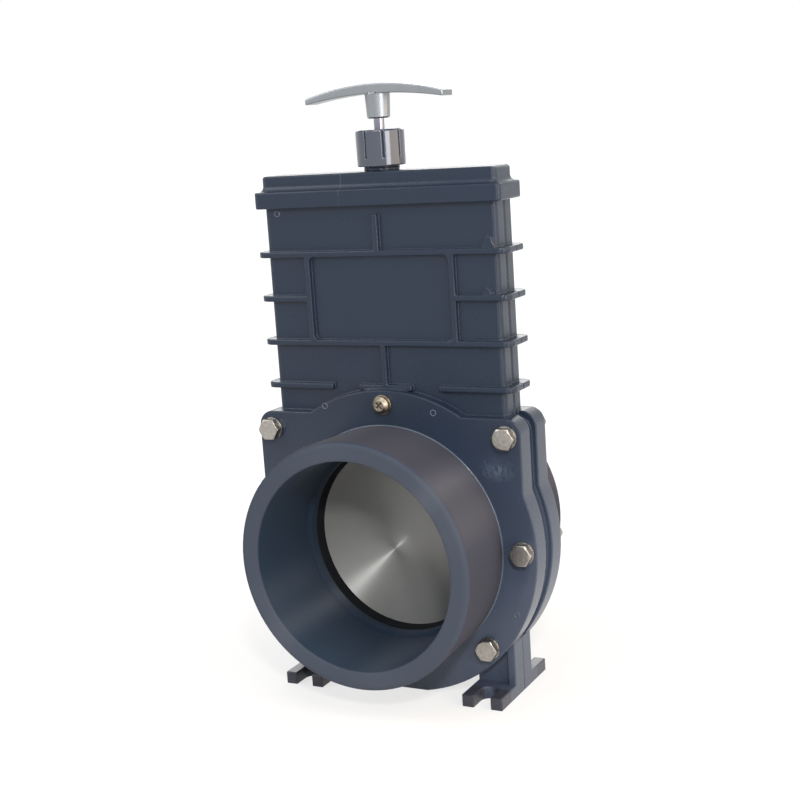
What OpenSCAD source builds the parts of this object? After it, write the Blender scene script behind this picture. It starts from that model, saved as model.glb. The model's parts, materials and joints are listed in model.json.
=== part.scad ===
// Knife gate valve with two solvent-weld pipe sockets, a bolted two-part body,
// a ribbed bonnet with a stepped cap, and a pull rod with a T handle.
// Units are millimetres. X runs along the handle, Y along the pipe, Z up.
// The inlet is on -Y. Z = 0 is the underside of the feet.

/* [Pipe sockets] */
// bore of each socket, for a 160 mm pipe
socket_d = 160.4; // [150:0.2:164]
// wall of each socket beside the flange
socket_wall = 14; // [10:0.5:16]
// how much the socket's outer radius grows up to its mouth
socket_taper = 2.8; // [0:0.1:4]
// depth of each socket from its mouth to the pipe stop
socket_depth = 73.5; // [55:0.5:100]
// distance from the gate's plane to each pipe stop
stop_y = 20.2; // [16:0.1:24]
// widening of the socket's radius at its mouth
flare = 1.8; // [0.5:0.1:3]
// length of that lead-in
flare_l = 20; // [8:1:30]
// rounding of the socket's outer rim
rim_r = 5; // [1:0.5:8]
// flow bore between the pipe stop and the seal
bore_d = 152; // [130:1:154]

/* [Flange] */
// height of the pipe axis above the feet's underside
axis_h = 120.4; // [118:0.1:140]
// outer diameter of the round flange
flange_d = 244; // [241:0.5:246]
// gap between the flange's flattened bottom and the ground
floor_gap = 0.5; // [0.3:0.1:2]
// thickness of each half's flange
flange_t = 18.8; // [16:0.2:24]
// half width of the groove between the two flanges
groove_w = 6.5; // [4:0.5:8]
// depth of that groove
groove_depth = 4; // [2:0.5:4.5]
// width across the two square shoulders
shoulder_w = 226.6; // [224:0.2:236]
// height of the shoulders above the axis
shoulder_h = 102.8; // [100:0.2:112]
// corner radius of the shoulders
shoulder_r = 12; // [6:1:14]

/* [Bonnet] */
// width of the bonnet
bonnet_w = 198; // [192:0.5:204]
// thickness of the bonnet through both halves
bonnet_t = 31.4; // [28:0.2:36]
// corner radius of the bonnet
bonnet_r = 4; // [2:0.5:5]
// rounding of each half's upright edge where the halves meet at the sides
seam_r = 2.5; // [0.5:0.5:3]
// thickness of a rib
rib_t = 4.6; // [3:0.2:7]
// how far the ribs stand out at the sides
rib_side = 8.4; // [3:0.2:10]
// how far the ribs stand out at the front and the back
rib_front = 4; // [1:0.1:5]
// corner radius of the ribs, seen from above
rib_r = 8; // [2:0.5:10]
// height of the lowest rib above the axis
rib_z = 123; // [118:0.5:128]
// distance between two ribs
rib_pitch = 34.7; // [30:0.1:36]
// half width of the bare nameplate frame, to the middle of its upright ribs
frame_x = 62; // [50:0.1:75]
// radius in the frame's four inner corners
frame_r = 4; // [1:0.5:8]
// half length of the lowest rib's middle piece
rib_mid = 22.8; // [15:0.1:30]
// where the lowest rib's outer pieces begin
rib_outer = 46.2; // [35:0.1:55]
// gap between the top post and the cap's band
post_gap = 6.8; // [0.5:0.1:12]
// how far the small gussets stand out
gusset_front = 2.4; // [1:0.1:4]
// the upper gusset's distance from the middle
gusset_x = 92.5; // [85:0.5:95]
// width of the upper gusset at its foot
gusset_w = 12.3; // [6:0.1:13]
// height of the upper gusset
gusset_h = 9; // [4:0.1:12]
// the lower gusset's distance from the middle
stub_x = 90; // [85:0.5:95]
// width of the lower gusset at its foot
stub_w = 8.6; // [4:0.1:12]
// height of the lower gusset
stub_h = 5.5; // [3.5:0.1:9]

/* [Cap] */
// how far the cap's band stands out past the bonnet at the sides
band_side = 6.1; // [4:0.1:8]
// how far it stands out at the front and the back
band_front = 5.3; // [4:0.1:8]
// height of the band
band_h = 13; // [10:0.5:18]
// how far the band reaches down over the bonnet
band_lap = 6.3; // [4:0.1:8]
// height of the narrower step above the band
step_h = 12.2; // [10:0.2:18]
// how far the step stands out past the bonnet at the sides
step_side = 1; // [0:0.1:3]
// rounding of the step's upper edges at the sides
step_r = 4; // [1:0.5:6]
// radius of the hollow between the step's face and the band
hollow_r = 4.6; // [1:0.1:5]
// rounding of the band's edges at the sides
band_r = 2; // [0.5:0.5:3]
// outer diameter of the threaded neck under the gland nut
neck_d = 27.4; // [24:0.2:31]
// gap between the neck's end and the inside of the gland nut
neck_gap = 0.5; // [0.3:0.1:2]

/* [Gate] */
// width of the gate
gate_w = 172; // [168:0.5:174]
// thickness of the gate
gate_t = 4; // [3:0.5:5]
// height of the gate's top edge above the axis
gate_top = 97; // [96:0.5:100]
// lift of the gate from shut to open
stroke = 160; // [120:1:160]
// gap between the gate's edge and what guides it
edge_gap = 0.3; // [0.2:0.05:0.6]
// gap between the gate's face and the seals and guides
face_gap = 0.05; // [0.05:0.01:0.2]
// half thickness of the pocket that the gate slides in
pocket_y = 8; // [7:0.1:9]
// width of the pocket past the gate on each side
pocket_gap = 4.5; // [3:0.5:5]
// how far a guide laps over the gate's edge
guide_lap = 3.5; // [2:0.5:5]
// angle that the cushion under the gate reaches to each side
cushion_angle = 60; // [30:5:75]

/* [Seals] */
// how far the seal's lip narrows the flow bore
lip = 1.8; // [1:0.1:3]
// how far the seal ring reaches past the gate's round edge
seal_over = 2; // [1:0.5:3]
// depth of the seal ring's seat in the body
seal_seat = 3; // [2:0.5:5]
// width and thickness of the body gasket
gasket = 2; // [1.5:0.1:2.2]
// wall between the pocket and the body gasket
gasket_wall = 1.7; // [1.2:0.1:2]

/* [Flange bolts] */
// bolt diameter
bolt_d = 10; // [8:0.5:10]
// hole's diameter over the bolt's
hole_gap = 1; // [0.5:0.1:1.2]
// width of the hexagon heads and nuts across their flats
hex_af = 16; // [13:0.5:17]
// how far the chamfer's circle on a hexagon lies inside its flats
hex_chamfer = 0.4; // [0.2:0.1:1]
// height of the bolt head
head_h = 6.4; // [5:0.1:8]
// height of the nut
nut_h = 8.4; // [6:0.1:10]
// outer diameter of the washers
washer_d = 18; // [17:0.5:20]
// thickness of the washers
washer_t = 1.6; // [1:0.1:3]
// length of bolt that stands out of the nut
bolt_out = 2.5; // [1:0.5:5]
// radius of the bolt circle
bolt_circle = 111; // [110:0.1:111.4]
// distance of the shoulder bolts from the middle
shoulder_bolt_x = 101.5; // [100.5:0.1:103]
// their height above the axis
shoulder_bolt_z = 88.7; // [80:0.1:92]
// diameter of the vent screw's shank
vent_d = 8; // [5:0.5:8]
// diameter of the vent screw's head
vent_head_d = 13.5; // [10:0.5:16]
// height of the vent screw's head
vent_head_h = 5; // [3:0.5:6]
// length of the vent screw's shank in the wall
vent_l = 12; // [6:0.5:14]
// length of the two slots of its cross recess
recess_l = 6.4; // [3:0.1:9]
// width of those slots
recess_w = 1.5; // [0.8:0.1:2.5]
// thickness of the vent screw's washer
vent_washer_t = 1.6; // [0.8:0.1:3]
// how far that washer reaches past the screw's head
vent_washer_over = 1; // [0.5:0.1:2]

/* [Stem and gland] */
// stem diameter
stem_d = 8; // [7:0.1:10]
// diameter of the stem's threaded lower end
stem_end_d = 6; // [4.5:0.5:7]
// running gap around the stem
stem_gap = 0.05; // [0.02:0.01:0.1]
// running gap between the gland nut and the neck
thread_gap = 0.1; // [0.05:0.01:0.1]
// diameter of the stuffing box
box_d = 17; // [15:0.1:20]
// outer diameter of the stem bush
bush_d = 13; // [11:0.5:14.5]
// height of one packing ring
ring_h = 4.5; // [3:0.1:5]
// number of packing rings
ring_n = 3; // [2:1:4]
// diameter of the gland nut
gland_d = 37.2; // [35:0.2:44]
// height of the gland nut
gland_h = 27.3; // [24:0.1:34]
// height of its plain collar
collar_h = 6; // [3:0.5:9]
// gap between the cap and the gland nut
gland_lift = 3.7; // [2:0.1:6]
// number of upright grooves in the gland nut
groove_n = 8; // [4:1:16]
// angle of the first groove from the inlet side
groove_turn = 33; // [0:1:45]
// depth and width of a groove
groove_d = 2.4; // [1:0.1:3]
// bevel of the gland nut's upper edge
gland_bevel = 1.2; // [0.4:0.1:2]
// gap around the stem in the gland nut's top
gland_hole_gap = 0.4; // [0.2:0.1:1]
// thickness of the gland nut's top
gland_top = 4.5; // [3:0.1:6]

/* [Handle] */
// length of the handle
bar_l = 117.2; // [90:0.2:160]
// width of the handle
bar_w = 18; // [14:0.5:24]
// thickness of the handle in the middle
bar_t = 7.4; // [6:0.1:10]
// thickness of the handle at its ends
bar_end_t = 4.5; // [3:0.1:6]
// how far the ends of its top hang below the middle
bar_droop = 8.3; // [5:0.1:15]
// diameter of the hub under the bar
hub_d = 19.4; // [17:0.1:28]
// diameter of the hub at its lower end
hub_low_d = 17.5; // [15:0.1:24]
// height of the hub
hub_h = 18.6; // [14:0.2:26]
// length of stem that the handle's top covers
stem_cover = 3; // [1:0.5:5]
// gap between the gland nut and the hub with the valve shut
hub_gap = 8.2; // [4:0.1:20]
// diameter of the set screw in the hub
grub_d = 5; // [3:0.5:6]

/* [Yoke] */
// width of the yoke that joins the stem to the gate
yoke_w = 34; // [30:1:44]
// thickness of the yoke
yoke_t = 14; // [12:0.5:14]
// how far the yoke laps over the gate
yoke_lap = 7.5; // [6:0.5:7.5]
// height of the chamber for the stem nut
yoke_room = 6.5; // [5.5:0.1:8]
// thickness of the yoke's top
yoke_top = 4.5; // [3:0.1:5]
// width of the stem nut across its flats
stem_nut_af = 10; // [9:0.5:12]
// height of the stem nut
stem_nut_h = 5; // [4:0.1:5]
// thickness of the stem washer
stem_washer_t = 1.2; // [0.8:0.1:2]
// diameter of the stem washer
stem_washer_d = 16; // [15:0.5:22]
// rivet diameter
rivet_d = 4; // [3:0.5:5]

/* [Feet] */
// distance of a foot's outer edge from the middle
foot_out = 95.5; // [93:0.1:98]
// distance of a foot's inner edge from the middle
foot_in = 62; // [55:0.5:66]
// length of a foot along the pipe
foot_l = 90; // [80:1:110]
// thickness of a foot
foot_t = 10; // [8:0.5:14]
// width of the open bolt slots
slot_w = 14; // [11:0.5:16]
// depth of the open bolt slots
slot_l = 21; // [15:0.5:24]
// thickness of a leg across the valve
leg_t = 6.5; // [4:0.5:9]
// length of a leg along the pipe
leg_l = 33; // [28:0.5:40]
// length of the web beside a leg along the pipe
web_l = 24; // [16:0.5:26]

/* [Hidden] */
$fn = 96;

// The overlap of a cutting tool past the face it cuts.
cut = 1;
socket_r = socket_d / 2;
socket_or = socket_r + socket_wall;
mouth_or = socket_or + socket_taper;
mouth_y = stop_y + socket_depth;
bore_r = bore_d / 2;
flange_r = flange_d / 2;
flange_y = groove_w + flange_t;
bonnet_x = bonnet_w / 2;
bonnet_y = bonnet_t / 2;
gate_r = gate_w / 2;
gate_y = gate_t / 2;
pocket_r = gate_r + pocket_gap;
seal_or = gate_r + seal_over;
seal_y = gate_y + face_gap;
hole_r = (bolt_d + hole_gap) / 2;

// Heights above the axis, from the gate up to the handle.
yoke_z = gate_top - yoke_lap;
web_z = gate_top + yoke_room;
yoke_end = web_z + yoke_top;
stem_shoulder = yoke_end + face_gap + stem_washer_t;
body_top = stem_shoulder + stroke + edge_gap;
band_z = body_top - band_lap;
step_z = band_z + band_h;
cap_top = step_z + step_h;
gland_z = cap_top + gland_lift;
gland_end = gland_z + gland_h;
gland_roof = gland_end - gland_top;
neck_top = gland_roof - neck_gap;
ring_z = cap_top + gland_lift;
follower_z = ring_z + ring_n * ring_h;
hub_z = gland_end + hub_gap;
bar_z = hub_z + hub_h;
stem_top = bar_z + bar_t - stem_cover;

// Radii of the handle's two arcs, from its length, its droop and its thicknesses.
bar_x = bar_l / 2;
under_droop = bar_droop - (bar_t - bar_end_t);
bar_top_r = (bar_x * bar_x + bar_droop * bar_droop) / (2 * bar_droop);
bar_under_r = (bar_x * bar_x + under_droop * under_droop) / (2 * under_droop);

foot_w = foot_out - foot_in;
slot_x = (foot_out + foot_in) / 2;
leg_y = leg_l / 2;
web_y = web_l / 2;
foot_y = foot_l / 2;

// Places of the flange bolts, as [x, height above the axis].
bolt_diag = bolt_circle * sqrt(0.5);
bolt_places = [[-shoulder_bolt_x, shoulder_bolt_z], [shoulder_bolt_x, shoulder_bolt_z],
    [-bolt_circle, 0], [bolt_circle, 0], [-bolt_diag, -bolt_diag], [bolt_diag, -bolt_diag]];

// Colours of the materials.
c_plastic = [0.20, 0.21, 0.25];
c_dark = [0.12, 0.12, 0.14];
c_rubber = [0.05, 0.05, 0.05];
c_steel = [0.70, 0.69, 0.66];
c_bright = [0.80, 0.80, 0.82];
c_alu = [0.62, 0.63, 0.65];
c_white = [0.85, 0.85, 0.82];

// A cylinder or cone along Y from y0 to y1.
module rod_y(y0, y1, ra, rb) {
    translate([0, y0, 0])
        rotate([-90, 0, 0])
            cylinder(h = y1 - y0, r1 = ra, r2 = rb);
}

// A flat shape in X and Z, drawn as X and Y, extruded along Y from y0 to y1.
module plate_y(y0, y1) {
    translate([0, y1, 0])
        rotate([90, 0, 0])
            linear_extrude(height = y1 - y0)
                children();
}

// A rectangle with four round corners, centred.
module round_rect(w, h, r) {
    square([w - 2 * r, h], center = true);
    square([w, h - 2 * r], center = true);
    for (sx = [-1, 1], sy = [-1, 1])
        translate([sx * (w / 2 - r), sy * (h / 2 - r)])
            circle(r = r);
}

// A U shape that is round at the bottom: half width r, up to height top.
module u_shape(r, top) {
    circle(r = r);
    translate([-r, 0])
        square([2 * r, top]);
}

// A hexagon prism along Y with chamfered corners at its outer end, y1.
module hex_y(y0, y1, af) {
    h = y1 - y0;
    corner = af / cos(30) / 2;
    outer = corner + cut;
    face_r = af / 2 - hex_chamfer;
    translate([0, y0, 0])
        rotate([-90, 0, 0])
            intersection() {
                cylinder(h = h, r = corner, $fn = 6);
                rotate_extrude()
                    polygon([[0, 0], [outer, 0], [outer, h - (outer - face_r) * tan(30)], [face_r, h], [0, h]]);
            }
}

// A copy of the children at each flange bolt.
module at_bolts() {
    for (p = bolt_places)
        translate([p[0], 0, axis_h + p[1]])
            children();
}

// The shape of the flange with its shoulders, drawn in by a margin on every side.
// Its bottom is flat where the round outline would meet the ground.
module flange_shape(margin) {
    difference() {
        circle(r = flange_r - margin, $fn = 180);
        translate([-flange_r, floor_gap - axis_h - flange_r])
            square([flange_d, flange_r]);
    }
    translate([0, shoulder_h / 2])
        round_rect(shoulder_w - 2 * margin, shoulder_h - 2 * margin, shoulder_r);
}

// The section of the rear half of the bonnet, with its outer corners and its seam edges rounded.
module bonnet_half() {
    outer = bonnet_x - bonnet_r;
    seam = bonnet_x - seam_r;
    translate([-outer, seam_r])
        square([2 * outer, bonnet_y - seam_r]);
    translate([-seam, 0])
        square([2 * seam, bonnet_y - bonnet_r]);
    translate([-bonnet_x, seam_r])
        square([bonnet_w, bonnet_y - seam_r - bonnet_r]);
    for (s = [-1, 1]) {
        translate([s * outer, bonnet_y - bonnet_r])
            circle(r = bonnet_r);
        translate([s * seam, seam_r])
            circle(r = seam_r);
    }
}

// One rib round three sides of the rear half of the bonnet, at height z above the axis.
module rib(z, x0, x1) {
    ledge = bonnet_x + rib_side;
    depth = bonnet_y + rib_front;
    intersection() {
        translate([0, 0, z - rib_t / 2])
            linear_extrude(height = rib_t)
                round_rect(2 * ledge, 2 * depth, rib_r);
        for (s = [-1, 1])
            translate([s > 0 ? x0 : -x1, 0, z - rib_t])
                cube([x1 - x0, depth + cut, 2 * rib_t]);
    }
}

// An upright rib on the rear face of the bonnet.
module post(x, z0, z1) {
    translate([x - rib_t / 2, bonnet_y - cut, z0])
        cube([rib_t, rib_front + cut, z1 - z0]);
}

// A small gusset with a round top, w wide and h high, that stands on the rib at height z.
module gusset(x, z, w, h) {
    r = w / 4;
    centre = h - r;
    translate([-x, 0, z + rib_t / 2])
        plate_y(bonnet_y - bonnet_r, bonnet_y + gusset_front) {
            polygon([
                [-w / 2, -cut], [w / 2, -cut], [w / 2, 0],
                [0.8 * r, centre], [-0.8 * r, centre], [-w / 2, 0],
            ]);
            translate([0, centre])
                circle(r = r);
        }
}

// The section of a hollow fillet of radius r that stands on a floor, against a wall at 2D x = wall.
module hollow(wall, r) {
    translate([wall, 0])
        difference() {
            translate([-cut, -cut])
                square([r + cut, r + cut]);
            translate([r, r])
                circle(r = r);
        }
}

// The round inner corners of the bare nameplate frame.
module frame_corners(low, high) {
    side = frame_x - rib_t / 2;
    for (sx = [-1, 1], top = [0, 1])
        translate([sx * side, 0, top ? high : low])
            mirror([sx > 0 ? 1 : 0, 0, 0])
                mirror([0, 0, top])
                    plate_y(bonnet_y - cut, bonnet_y + rib_front)
                        hollow(0, frame_r);
}

// All the ribs of the rear half.
module ribs() {
    edge = bonnet_x + rib_side + cut;
    top = rib_z + 3 * rib_pitch;
    rib(rib_z, rib_outer, edge);
    rib(rib_z, 0, rib_mid);
    rib(rib_z + rib_pitch, 0, edge);
    rib(rib_z + 2 * rib_pitch, frame_x, edge);
    rib(top, 0, edge);
    for (s = [-1, 1])
        post(s * frame_x, rib_z + rib_pitch, top);
    post(0, rib_z, rib_z + rib_pitch);
    post(0, top, band_z - post_gap);
    frame_corners(rib_z + rib_pitch + rib_t / 2, top - rib_t / 2);
    gusset(gusset_x, top, gusset_w, gusset_h);
    gusset(stub_x, top - rib_pitch, stub_w, stub_h);
}

// One foot of the rear half, on the +X side.
module foot() {
    translate([foot_in, 0, 0])
        cube([foot_w, foot_y, foot_t]);
    translate([foot_out - leg_t, 0, 0])
        cube([leg_t, leg_y, leg_top()]);
    translate([foot_in, 0, 0])
        cube([foot_w, web_y, leg_top()]);
}

// Height at which a leg's outer face meets the round flange.
function leg_top() = axis_h - sqrt(flange_r * flange_r - foot_out * foot_out);

// The open slot of one foot, cut from the foot's end.
module foot_slot() {
    end_y = foot_y - slot_l + slot_w / 2;
    translate([slot_x, 0, -cut])
        linear_extrude(height = foot_t + 2 * cut) {
            translate([0, end_y])
                circle(r = slot_w / 2);
            translate([-slot_w / 2, end_y])
                square([slot_w, foot_y - end_y + cut]);
        }
}

// The socket with its round outer rim, from the flange to the mouth on +Y.
module socket_tube() {
    rod_y(groove_w, flange_y, socket_or, socket_or);
    rod_y(flange_y, mouth_y - rim_r, socket_or, mouth_or);
    rod_y(mouth_y - rim_r, mouth_y, mouth_or - rim_r, mouth_or - rim_r);
    translate([0, mouth_y - rim_r, 0])
        rotate([-90, 0, 0])
            rotate_extrude()
                translate([mouth_or - rim_r, 0])
                    circle(r = rim_r);
}

// The rear half of the body: socket, flange, bonnet, ribs and feet.
module body_half() {
    difference() {
        union() {
            translate([0, 0, axis_h]) {
                socket_tube();
                plate_y(groove_w, flange_y)
                    flange_shape(0);
                plate_y(0, groove_w + cut)
                    flange_shape(groove_depth);
                linear_extrude(height = body_top)
                    bonnet_half();
                ribs();
            }
            foot();
            mirror([1, 0, 0])
                foot();
        }
        translate([0, 0, axis_h]) {
            rod_y(stop_y, mouth_y + cut, socket_r, socket_r);
            rod_y(mouth_y - flare_l, mouth_y, socket_r, socket_r + flare);
            rod_y(-cut, stop_y + cut, bore_r, bore_r);
            rod_y(-cut, pocket_y + seal_seat, seal_or, seal_or);
            plate_y(-cut, pocket_y)
                u_shape(pocket_r, body_top + cut);
            gasket_ring(body_top + cut);
        }
        foot_slot();
        mirror([1, 0, 0])
            foot_slot();
        at_bolts()
            rod_y(-cut, flange_y + cut, hole_r, hole_r);
    }
}

// The body gasket's U, up to a height above the axis.
module gasket_ring(top) {
    inner = pocket_r + gasket_wall;
    plate_y(-gasket / 2, gasket / 2)
        difference() {
            u_shape(inner + gasket, top);
            u_shape(inner, top + cut);
        }
}

module rear_body() {
    color(c_plastic)
        body_half();
}

module front_body() {
    color(c_plastic)
        difference() {
            rotate([0, 0, 180])
                body_half();
            translate([0, 0, axis_h + bolt_circle])
                rod_y(-flange_y - cut, -flange_y + vent_l, vent_d / 2, vent_d / 2);
        }
}

// A slab as the cap has, with round upright corners, and with round edges at its two ends.
module soft_slab(w, d, h, r) {
    intersection() {
        linear_extrude(height = h)
            round_rect(w, d, bonnet_r);
        translate([0, 0, h / 2])
            plate_y(-d, d)
                round_rect(w, h, r);
    }
}

// The hollow between the cap's step and its band: rear side, right side and the two rear corners.
module cap_hollow() {
    x = bonnet_x + step_side - bonnet_r;
    y = bonnet_y - bonnet_r;
    reach = bonnet_r + hollow_r + cut;
    translate([0, 0, step_z]) {
        translate([-x, bonnet_y, 0])
            rotate([90, 0, 90])
                linear_extrude(height = 2 * x)
                    hollow(0, hollow_r);
        translate([x + bonnet_r, y, 0])
            rotate([90, 0, 0])
                linear_extrude(height = 2 * y)
                    hollow(0, hollow_r);
        for (s = [-1, 1])
            translate([s * x, y, 0])
                intersection() {
                    rotate_extrude()
                        hollow(bonnet_r, hollow_r);
                    translate([s > 0 ? 0 : -reach, 0, -cut])
                        cube([reach, reach, hollow_r + 2 * cut]);
                }
    }
}

// The cap: a band over the bonnet's top, a narrower step and the threaded neck.
module bonnet_cap() {
    color(c_plastic)
        translate([0, 0, axis_h])
            difference() {
                union() {
                    translate([0, 0, band_z])
                        soft_slab(bonnet_w + 2 * band_side, bonnet_t + 2 * band_front, band_h, band_r);
                    translate([0, 0, band_z + band_r])
                        soft_slab(bonnet_w + 2 * step_side, bonnet_t, cap_top - band_z - band_r, step_r);
                    cap_hollow();
                    rotate([0, 0, 180])
                        cap_hollow();
                    translate([0, 0, cap_top - cut])
                        cylinder(h = neck_top - cap_top + cut, r = neck_d / 2);
                }
                translate([0, 0, band_z - cut])
                    linear_extrude(height = band_lap + cut)
                        round_rect(bonnet_w, bonnet_t, bonnet_r);
                translate([0, 0, body_top - cut])
                    cylinder(h = ring_z - body_top + 2 * cut, r = bush_d / 2);
                translate([0, 0, ring_z])
                    cylinder(h = neck_top - ring_z + cut, r = box_d / 2);
            }
}

// A seal ring on the rear side of the gate, with a lip that narrows the bore.
module seal_ring() {
    color(c_rubber)
        translate([0, 0, axis_h])
            difference() {
                rod_y(seal_y, pocket_y + seal_seat, seal_or, seal_or);
                rod_y(seal_y - cut, seal_y + cut, bore_r - lip, bore_r - lip);
                rod_y(seal_y, pocket_y + seal_seat, bore_r - lip, bore_r);
                rod_y(pocket_y + seal_seat - cut / 10, pocket_y + seal_seat + cut, bore_r, bore_r);
            }
}

module rear_seal() {
    seal_ring();
}

module front_seal() {
    rotate([0, 0, 180])
        seal_ring();
}

module body_gasket() {
    color(c_rubber)
        translate([0, 0, axis_h])
            gasket_ring(body_top);
}

// The channel that guides one edge of the gate, on the +X side.
module guide() {
    inner = gate_r - guide_lap;
    bottom = sqrt(seal_or * seal_or - inner * inner) + cut;
    color(c_white)
        translate([0, 0, axis_h + bottom])
            difference() {
                translate([inner, -pocket_y, 0])
                    cube([pocket_r - inner, 2 * pocket_y, body_top - bottom]);
                translate([inner - cut, -seal_y, -cut])
                    cube([guide_lap + edge_gap + cut, 2 * seal_y, body_top - bottom + 2 * cut]);
            }
}

module right_guide() {
    guide();
}

module left_guide() {
    mirror([1, 0, 0])
        guide();
}

// The cushion under the gate, an arc at the bottom of the pocket.
module gate_cushion() {
    reach = 4 * pocket_r;
    side = [reach * sin(cushion_angle), -reach * cos(cushion_angle)];
    color(c_rubber)
        translate([0, 0, axis_h])
            plate_y(-gate_y, gate_y)
                intersection() {
                    difference() {
                        circle(r = pocket_r);
                        circle(r = gate_r + edge_gap);
                    }
                    polygon([[0, 0], [-side[0], side[1]], [0, -reach], side]);
                }
}

module flange_bolts() {
    seat = flange_y + washer_t;
    color(c_steel)
        at_bolts() {
            rotate([0, 0, 180])
                hex_y(seat, seat + head_h, hex_af);
            rod_y(-seat - cut, seat + nut_h + bolt_out, bolt_d / 2, bolt_d / 2);
        }
}

// A washer against the flange on the rear side.
module washers() {
    color(c_bright)
        at_bolts()
            difference() {
                rod_y(flange_y, flange_y + washer_t, washer_d / 2, washer_d / 2);
                rod_y(flange_y - cut, flange_y + washer_t + cut, hole_r, hole_r);
            }
}

module rear_washers() {
    washers();
}

module front_washers() {
    mirror([0, 1, 0])
        washers();
}

module flange_nuts() {
    seat = flange_y + washer_t;
    color(c_steel)
        at_bolts()
            difference() {
                hex_y(seat, seat + nut_h, hex_af);
                rod_y(seat - cut, seat + nut_h + cut, bolt_d / 2, bolt_d / 2);
            }
}

// The short pan-head screw with a cross recess above the inlet socket.
module vent_screw() {
    seat = flange_y + vent_washer_t;
    top = seat + vent_head_h;
    dome = vent_head_h / 2;
    color(c_steel)
        translate([0, 0, axis_h + bolt_circle])
            rotate([0, 0, 180])
                difference() {
                    union() {
                        rod_y(seat, top - dome, vent_head_d / 2, vent_head_d / 2);
                        rod_y(top - dome, top, vent_head_d / 2, vent_head_d / 2 - dome);
                        rod_y(flange_y - vent_l, seat + cut, vent_d / 2, vent_d / 2);
                    }
                    for (a = [45, 135])
                        rotate([0, a, 0])
                            translate([-recess_l / 2, top - dome, -recess_w / 2])
                                cube([recess_l, dome + cut, recess_w]);
                }
}

module vent_washer() {
    color(c_bright)
        translate([0, 0, axis_h + bolt_circle])
            difference() {
                rod_y(-flange_y - vent_washer_t, -flange_y,
                    vent_head_d / 2 + vent_washer_over, vent_head_d / 2 + vent_washer_over);
                rod_y(-flange_y - vent_washer_t - cut, -flange_y + cut, vent_d / 2, vent_d / 2);
            }
}

// A ring about the stem from z0 to z1 above the axis, between two radii.
module stem_ring(z0, z1, inner, outer) {
    translate([0, 0, axis_h + z0])
        difference() {
            cylinder(h = z1 - z0, r = outer);
            translate([0, 0, -cut])
                cylinder(h = z1 - z0 + 2 * cut, r = inner);
        }
}

module stem_bush() {
    color(c_white)
        stem_ring(body_top + edge_gap, ring_z, stem_d / 2 + stem_gap, bush_d / 2);
}

module packing_rings() {
    gap = stem_gap;
    color(c_dark)
        for (i = [0 : ring_n - 1])
            stem_ring(ring_z + i * ring_h, ring_z + (i + 1) * ring_h - gap, stem_d / 2 + stem_gap, box_d / 2);
}

module gland_follower() {
    color(c_white)
        stem_ring(follower_z, gland_roof - face_gap, stem_d / 2 + stem_gap, box_d / 2 - stem_gap);
}

// The gland nut, with upright grooves above a plain collar.
module gland_nut() {
    r = gland_d / 2;
    bevel = gland_bevel;
    color(c_dark)
        translate([0, 0, axis_h + gland_z])
            difference() {
                rotate_extrude()
                    polygon([[0, 0], [r - bevel / 2, 0], [r, bevel / 2], [r, gland_h - bevel],
                        [r - bevel, gland_h], [0, gland_h]]);
                translate([0, 0, -cut])
                    cylinder(h = gland_roof - gland_z + cut, r = neck_d / 2 + thread_gap);
                cylinder(h = gland_h + cut, r = stem_d / 2 + gland_hole_gap);
                for (i = [0 : groove_n - 1])
                    rotate([0, 0, groove_turn + 360 * i / groove_n])
                        translate([0, -r, collar_h])
                            linear_extrude(height = gland_h)
                                polygon([[0, groove_d], [-groove_d / 2, -cut], [groove_d / 2, -cut]]);
            }
}

// The gate: a plate with a round lower edge and holes for the yoke's rivets.
module gate() {
    color(c_bright)
        translate([0, 0, axis_h])
            plate_y(-gate_y, gate_y)
                difference() {
                    u_shape(gate_r, gate_top);
                    rivet_holes();
                }
}

// The rivets' section, through the yoke and the gate.
module rivet_holes() {
    for (s = [-1, 1])
        translate([s * (yoke_w / 2 - rivet_d), gate_top - yoke_lap / 2])
            circle(r = rivet_d / 2);
}

module gate_rivets() {
    color(c_steel)
        translate([0, 0, axis_h])
            plate_y(-yoke_t / 2, yoke_t / 2)
                rivet_holes();
}

// The yoke: it straddles the gate's top edge and holds the stem's nut.
module stem_yoke() {
    room = stem_nut_af / cos(30) / 2 + 2 * edge_gap;
    color(c_steel)
        translate([0, 0, axis_h])
            difference() {
                plate_y(-yoke_t / 2, yoke_t / 2)
                    difference() {
                        translate([-yoke_w / 2, yoke_z])
                            square([yoke_w, yoke_end - yoke_z]);
                        translate([-room, gate_top])
                            square([2 * room, yoke_room]);
                        rivet_holes();
                    }
                translate([-yoke_w, -gate_y, yoke_z - cut])
                    cube([2 * yoke_w, gate_t, yoke_lap + cut]);
                translate([0, 0, web_z - cut])
                    cylinder(h = yoke_top + 2 * cut, r = stem_end_d / 2 + stem_gap);
            }
}

module stem() {
    nut_z = web_z - face_gap - stem_nut_h;
    color(c_bright)
        translate([0, 0, axis_h]) {
            translate([0, 0, stem_shoulder])
                cylinder(h = stem_top - stem_shoulder, r = stem_d / 2);
            translate([0, 0, nut_z - edge_gap])
                cylinder(h = stem_shoulder - nut_z + edge_gap + cut, r = stem_end_d / 2);
        }
}

module stem_washer() {
    color(c_bright)
        stem_ring(yoke_end + face_gap, stem_shoulder, stem_end_d / 2, stem_washer_d / 2);
}

module stem_nut() {
    z = web_z - face_gap - stem_nut_h;
    color(c_steel)
        translate([0, 0, axis_h + z])
            difference() {
                cylinder(h = stem_nut_h, r = stem_nut_af / cos(30) / 2, $fn = 6);
                translate([0, 0, -cut])
                    cylinder(h = stem_nut_h + 2 * cut, r = stem_end_d / 2);
            }
}

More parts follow.
